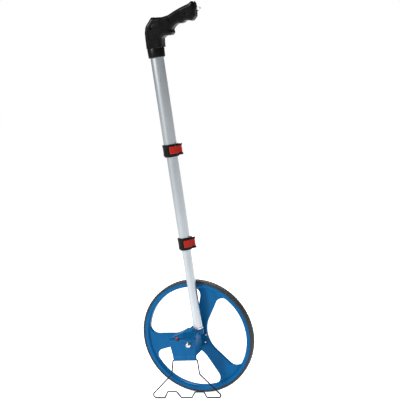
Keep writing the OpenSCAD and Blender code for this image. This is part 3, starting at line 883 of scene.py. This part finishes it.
def button_field(x, y, z):
    """Reset button with a dished, softly rounded top."""
    ring, over = about_button(x, y, z)
    body = drum_shape(ring, 0, over, 4.5, -6, 3.95, 0.9)
    flange = drum_shape(ring, 0, over, 5.35, -5, -2.8, 0.3)
    dish = np.sqrt(ring ** 2 + (over - 12.6) ** 2) - 9.2
    return soft_max(np.minimum(body, flange), -dish, 0.5)


button = sculpt("reset_push_button", button_field, (-40, -79, 163), (-26, -61, 181), 0.4,
                "button_plastic", 40)
place_piece(button, "button", "red_plastic", "reset_button")

# ---------------------------------------------------------------- stand

WIRE_R = 1.9
STAND_Y = -52.2           # of the wire's middle where it stands on the floor
LEAN = math.atan2(STAND_Y - HINGE_Y, HINGE_Z - WIRE_R)
STAND_H = (HINGE_Z - WIRE_R) / math.cos(LEAN)
LOOP_NORMAL = Vector((0, math.cos(LEAN), math.sin(LEAN)))
CORNERS = [(-53.5, STAND_H), (-66, 73), (-150, 0), (-103, 0), (-91, 18.9), (-64, 18.9), (-54, 0), (-23, 0),
           (-10, 17.3), (15.5, 17.3), (21, 0), (68.8, 0), (14.5, 72), (17.3, STAND_H)]
BENDS = [3, 8, 8.9, 4, 4, 4, 4, 4, 4, 4, 4, 7.2, 8, 3]


def in_stand(u, v):
    return (u, STAND_Y - v * math.sin(LEAN), WIRE_R + v * math.cos(LEAN))


wire = tube_along("stand_bent_wire", [in_stand(u, v) for u, v in fillet(CORNERS, BENDS, 7)], WIRE_R - 0.03,
                  "coated_wire", 20)
place_piece(wire, "stand", "coated_wire", "stand_wire")

# ---------------------------------------------------------------- pole


def chamfered(r_out, r_in, z0, z1, c):
    """Profile of a tube with its four edges cut off by c."""
    return [(r_in, z0 + c), (r_in + c, z0), (r_out - c, z0), (r_out, z0 + c),
            (r_out, z1 - c), (r_out - c, z1), (r_in + c, z1), (r_in, z1 - c)]


def pole_turned(name, profile, material, body, node):
    """A profile of (radius, z) turned about the pole, for a node."""
    return place_piece(lathe(name, profile, material, about_pole, 96, None, 25), body, material, node)


low, high = span("pole_ring", "z")
ring = [(12.55, low), (13.7, low), (14.15, low + 0.6), (14.15, high - 1.2), (13.2, high - 0.1),
        (12.55, high - 0.1)]
pole_turned("pole_foot_ring", ring, "bright_trim", "base", "pole_ring")
for node, body, r_out, wall in (("lower_tube", "base", 12.5, 1.2), ("middle_tube", "middle_section", 15, 2),
                                ("top_tube", "top_section", 17.5, 2)):
    z0, z1 = span(node, "z")
    tube = chamfered(r_out - 0.02, r_out - wall + 0.02, z0 + 0.05, z1 - 0.05, 0.35)
    pole_turned(node + "_drawn", tube, "aluminium", body, node)

CLAMPS = (("lower", 412, 15, "middle_section", "lower_lock"),
          ("upper", 664, 17.5, "top_section", "upper_lock"))
EAR, CLAMP_H = 5, 30
PIN_OUT = 9               # of the lever's pin from the tube, along x
PIN_Y = 1                 # and from the pole's axis
for name, z0, r, body, lock in CLAMPS:

    def clamp_field(x, y, z, r=r, z0=z0):
        u, v, w = x - POLE_X, y - POLE_Y, z - z0
        pole = np.sqrt(u * u + v * v)
        collar = drum_shape(u, v, w, r + 4.25, 0.05, CLAMP_H - 0.05, 1.2)
        band = np.maximum(np.abs(w - CLAMP_H / 2) - 8.5, -(collar + 0.5))
        pin_u, pin_v = u - r - PIN_OUT, v - PIN_Y
        levels = ((0.05, EAR), (CLAMP_H - EAR, CLAMP_H - 0.05))
        ears = np.minimum(*[block(u, v, w, (0, -6, a), (r + PIN_OUT, 8, b), 1.2) for a, b in levels])
        tips = np.minimum(*[drum_shape(pin_u, pin_v, w, 5.95, a, b, 1.2) for a, b in levels])
        body = soft_min(np.maximum(collar, -band), soft_min(ears, tips, 0.8), 0.8)
        slit = np.maximum(np.abs(v - 5.1) - 0.6, -u)
        return most(body, -slit, r - pole, 2 - np.sqrt(pin_u ** 2 + pin_v ** 2))

    def lever_field(x, y, z, r=r, z0=z0):
        u, v, w = x - POLE_X, y - POLE_Y, z - z0
        pole = np.sqrt(u * u + v * v)
        pin_u, pin_v = u - r - PIN_OUT, v - PIN_Y
        low, high = EAR + 0.4, CLAMP_H - EAR - 0.4
        shell = soft_max(np.abs(pole - r - 6.5) - 1.65, np.abs(w - CLAMP_H / 2) - (high - low) / 2, 1.2)
        ang = np.degrees(np.arctan2(v, u))
        shell = soft_max(shell, np.maximum(-78 - ang, ang + 5) * 0.35, 2.0)
        rows = np.maximum(np.abs(np.abs(ang + 66) - 3) - 1.2, 0)
        ridge = most(rows - 0.1, np.abs(w - CLAMP_H / 2) - 6, -(pole - r - 7.6))
        shell = np.maximum(shell, -ridge)
        barrel = drum_shape(pin_u, pin_v, w, 4.35, low, high, 0.7)
        neck = block(u, v, w, (r + 5.6, -4, low), (r + 8.2, 2, high), 0.5)
        body = soft_min(shell, soft_min(barrel, neck, 0.8), 0.8)
        return np.maximum(body, 2.05 - np.sqrt(pin_u ** 2 + pin_v ** 2))

    lo = (POLE_X - r - 9, POLE_Y - r - 9, z0 - 1)
    hi = (POLE_X + r + 16, POLE_Y + r + 6, z0 + CLAMP_H + 1)
    collar = sculpt(name + "_clamp_collar", clamp_field, lo, hi, 0.7, "black_plastic", 38)
    place_piece(collar, body, "black_plastic", name + "_clamp")
    lever = sculpt(name + "_lock_lever", lever_field, lo, hi, 0.6, "red_plastic", 38)
    place_piece(lever, lock, "red_plastic", name + "_lever")

    def about_pin(pin_r, a, z, r=r):
        return (POLE_X + r + PIN_OUT + pin_r * math.cos(a), POLE_Y + PIN_Y + pin_r * math.sin(a), z)

    z1 = z0 + CLAMP_H
    shape = [(0.02, z0 - 1), (2.4, z0 - 1), (3.1, z0 - 0.5), (3.1, z0), (1.95, z0),
             (1.95, z1), (3.1, z1), (3.1, z1 + 0.5), (2.4, z1 + 1), (0.02, z1 + 1)]
    pin = lathe(name + "_pivot_pin", shape, "steel", about_pin, 32)
    place_piece(pin, body, "steel", name + "_lever_pin")
    inner = r - 2.45
    flange = [(inner, z0 + 25), (inner, z0 - 3), (r + 1.4, z0 - 2.95), (r + 1.95, z0 - 2.4),
              (r + 1.95, z0 - 0.5), (r + 1.4, z0 - 0.05), (r - 2.05, z0), (r - 2.05, z0 + 25)]
    pole_turned(name + "_guide_bush", flange, "black_plastic", body, name + "_bush")

# ---------------------------------------------------------------- handle

SEAM_Z = 946              # joint of the grip and its collar
GRIP_ROUND = 13.5         # how far in from its outline the grip's side is rounded


def grip_outline():
    """The handle's side outline in x and z: back, top, butt, then the underside's finger grooves."""
    return [(-6, 940), (-5.5, 965), (-4.4, 988), (0, 1004), (20, 1025.5), (36, 1023), (50, 1021.5),
            (66, 1023.5), (84, 1031), (102, 1037), (124, 1042.5), (137, 1050), (141, 1040), (141.5, 1026),
            (139, 1008), (132, 1001), (127, 998), (118, 1001), (109, 1001.5), (104, 998), (97, 996.5),
            (91, 998.5), (83, 996), (76, 991.5), (71, 986), (73, 978), (67, 972.5), (59, 972), (52, 973.5),
            (41, 969), (39.5, 955), (38.5, 940)]


GRIP_X = np.arange(-16, 150, 0.8)
GRIP_Z = np.arange(932, 1054, 0.8)
GRIP_GRID = outline_distance(GRIP_X[:, None], GRIP_Z[None, :], fillet(grip_outline(), 5, 3))


def grip_solid(x, y, z):
    """The handle's body: round in section, narrower along the bar than over the pole."""
    v = y - POLE_Y
    d = from_grid(GRIP_GRID, GRIP_X, GRIP_Z, x, z)
    half = 18.9 - 4 * np.clip((x - 40) / 60, 0, 1)
    q = np.maximum(d + GRIP_ROUND, 0) / GRIP_ROUND
    p = np.abs(v) / half
    body = (np.sqrt(np.sqrt(q ** 4 + p ** 4) + 1e-9) - 1) * 12.5
    body = soft_max(body, d, 1.0)
    return np.maximum(body, SEAM_Z + 0.3 - z)


def grip_skin(x, y, z):
    """Body with its seams: the back cap's bevel line and the screw wells."""
    v = y - POLE_Y
    body = grip_solid(x, y, z)
    body = groove(body, line_distance(x, z, CAP_SEAM), 0.6, 0.7)
    for sx, sz in SCREWS:
        well = np.sqrt((x - sx) ** 2 + (z - sz) ** 2)
        body = soft_max(body, -np.maximum(well - 3.3, 12.6 - np.abs(v)), 0.3)
    pole = np.sqrt((x - POLE_X) ** 2 + v * v)
    body = np.maximum(body, np.where(z < 986, 17.5 - pole, -1.0))
    hole = np.sqrt(v * v + (z - 1026) ** 2)
    return np.maximum(body, np.where(x > 134, 2.2 - hole, -1.0))


CAP_SEAM = [(-12, 962), (2, 962), (7, 967), (8, 990), (-4, 1007), (16, 998), (27, 1007)]
SCREWS = [(POLE_X + a, b) for a, b in ((2, 996), (54, 1010), (100, 1018))]
for name, sign in (("grip_front", -1), ("grip_back", 1)):

    def half_field(x, y, z, sign=sign):
        return soft_max(grip_skin(x, y, z), -(y - POLE_Y) * sign + 0.02, 1.2)

    y0, y1 = sorted((POLE_Y - sign * 1.2, POLE_Y + sign * 20))
    half = sculpt(name + "_shell", half_field, (-13, y0, 944), (146, y1, 1053), 0.75, "grip_plastic", 42)
    place_piece(half, "top_section", "black_plastic", name)

heads = [pan_screw(f"grip_screw_{i}", x, z, POLE_Y - 11, -1, 2.95, 1.5, 1.5, POLE_Y - 3)
         for i, (x, z) in enumerate(SCREWS)]
place_piece(joined("grip_screw_heads", heads), "top_section", "steel", "grip_screws")

low, high = span("handle_collar", "z")
neck = [(17.5, low), (20.8, low), (21.8, low + 1), (22.7, high - 1.6), (22.2, high - 0.3), (17.5, high - 0.3)]
pole_turned("handle_neck_collar", neck, "black_plastic", "top_section", "handle_collar")

EYE_X, EYE_Z = 147, 1026


def eyelet_field(x, y, z):
    u, v, w = x - EYE_X, y - POLE_Y, z - EYE_Z
    ring = np.sqrt((np.sqrt(u * u + w * w) - 4.75) ** 2 + (v * 0.85) ** 2) - 1.22
    shank = np.maximum(np.sqrt(v * v + w * w) - 2.15, np.abs(u + 8.2) - 3.75)
    return soft_min(ring, shank, 0.5)


eyelet = sculpt("strap_eye", eyelet_field, (133, POLE_Y - 4, 1018), (155, POLE_Y + 4, 1034), 0.4,
                "steel", 45)
place_piece(eyelet, "top_section", "steel", "strap_eyelet")

# ---------------------------------------------------------------- parts seen only through gaps

INNER = {
    "hub_bushes": "bush_brass", "drive_gear": "white_plastic", "idler_shaft": "white_plastic",
    "counter_frame": "steel", "frame_screws": "steel", "counter_shaft": "steel", "socket_screw": "steel",
    "lower_tube_stop": "black_plastic", "middle_tube_stop": "black_plastic",
}
for node, look in INNER.items():
    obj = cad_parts[node]
    obj.data.materials.clear()
    obj.data.materials.append(mat[look])
    bevel = obj.modifiers.new("edge", "BEVEL")
    bevel.width = 0.15 * MM
    bevel.limit_method = "ANGLE"

# ---------------------------------------------------------------- floor, light and camera

FLOOR_M = 60              # half of its side: it reaches the horizon in every view
corners = [(-FLOOR_M, -FLOOR_M, 0), (FLOOR_M, -FLOOR_M, 0), (FLOOR_M, FLOOR_M, 0), (-FLOOR_M, FLOOR_M, 0)]
floor_mesh = bpy.data.meshes.new("floor")
floor_mesh.from_pydata(corners, [], [(0, 1, 2, 3)])
paper = Nodes("paper_floor")
shade = paper.mixed(paper.noise(4), (0.78, 0.78, 0.78, 1), (0.82, 0.82, 0.82, 1))
paper.set(Base_color=shade, Roughness=0.9, Emission_color=(1, 1, 1, 1), Emission_strength=0.92)
floor_mesh.materials.append(paper.material)
floor = bpy.data.objects.new("floor", floor_mesh)
bpy.context.scene.collection.objects.link(floor)
floor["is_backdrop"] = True

# A white backdrop that lights the object only a little.
world = bpy.data.worlds.new("studio")
world.use_nodes = True
sky = world.node_tree
sky.nodes["Background"].inputs["Color"].default_value = (1, 1, 1, 1)
rays = sky.nodes.new("ShaderNodeLightPath")
glow = sky.nodes.new("ShaderNodeMapRange")
glow.inputs["To Min"].default_value = 0.1
sky.links.new(rays.outputs["Is Camera Ray"], glow.inputs["Value"])
sky.links.new(glow.outputs["Result"], sky.nodes["Background"].inputs["Strength"])
bpy.context.scene.world = world


def soft_light(name, at, aim, size, watts):
    lamp = bpy.data.lights.new(name, "AREA")
    lamp.shape, lamp.size, lamp.energy = "DISK", size, watts
    obj = bpy.data.objects.new(name, lamp)
    obj.location = at
    obj.rotation_euler = (Vector(aim) - Vector(at)).to_track_quat("-Z", "Y").to_euler()
    bpy.context.scene.collection.objects.link(obj)


soft_light("key", (-1.1, -1.5, 1.75), (0, 0, 0.35), 0.4, 42)
soft_light("top", (0.0, 1.5, 2.1), (0.05, 0, 1.0), 1.0, 60)

camera = bpy.data.objects.new("camera", bpy.data.cameras.new("camera"))
camera.data.lens, camera.data.sensor_width = 76.87, 36
camera.data.shift_x, camera.data.shift_y = 0.0584, -0.0086
azimuth, elevation, roll = (math.radians(degrees) for degrees in (22.2585, 7.3473, -8.6509))
back_axis = Vector((math.sin(azimuth) * math.cos(elevation), -math.cos(azimuth) * math.cos(elevation),
                    math.sin(elevation)))
sideways = Vector((math.cos(azimuth), math.sin(azimuth), 0))
upright = back_axis.cross(sideways)
right_axis = sideways * math.cos(roll) + upright * math.sin(roll)
up_axis = upright * math.cos(roll) - sideways * math.sin(roll)
turned = Matrix((right_axis, up_axis, back_axis)).transposed().to_4x4()
camera.matrix_world = Matrix.Translation((0.86405, -2.08004, 0.84413)) @ turned
bpy.context.scene.collection.objects.link(camera)
bpy.context.scene.camera = camera
bpy.context.scene.view_settings.view_transform = "Standard"

bpy.context.view_layer.update()
low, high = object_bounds()
{"cad": [list(cad_low), list(cad_high)], "visual": [list(low), list(high)]}
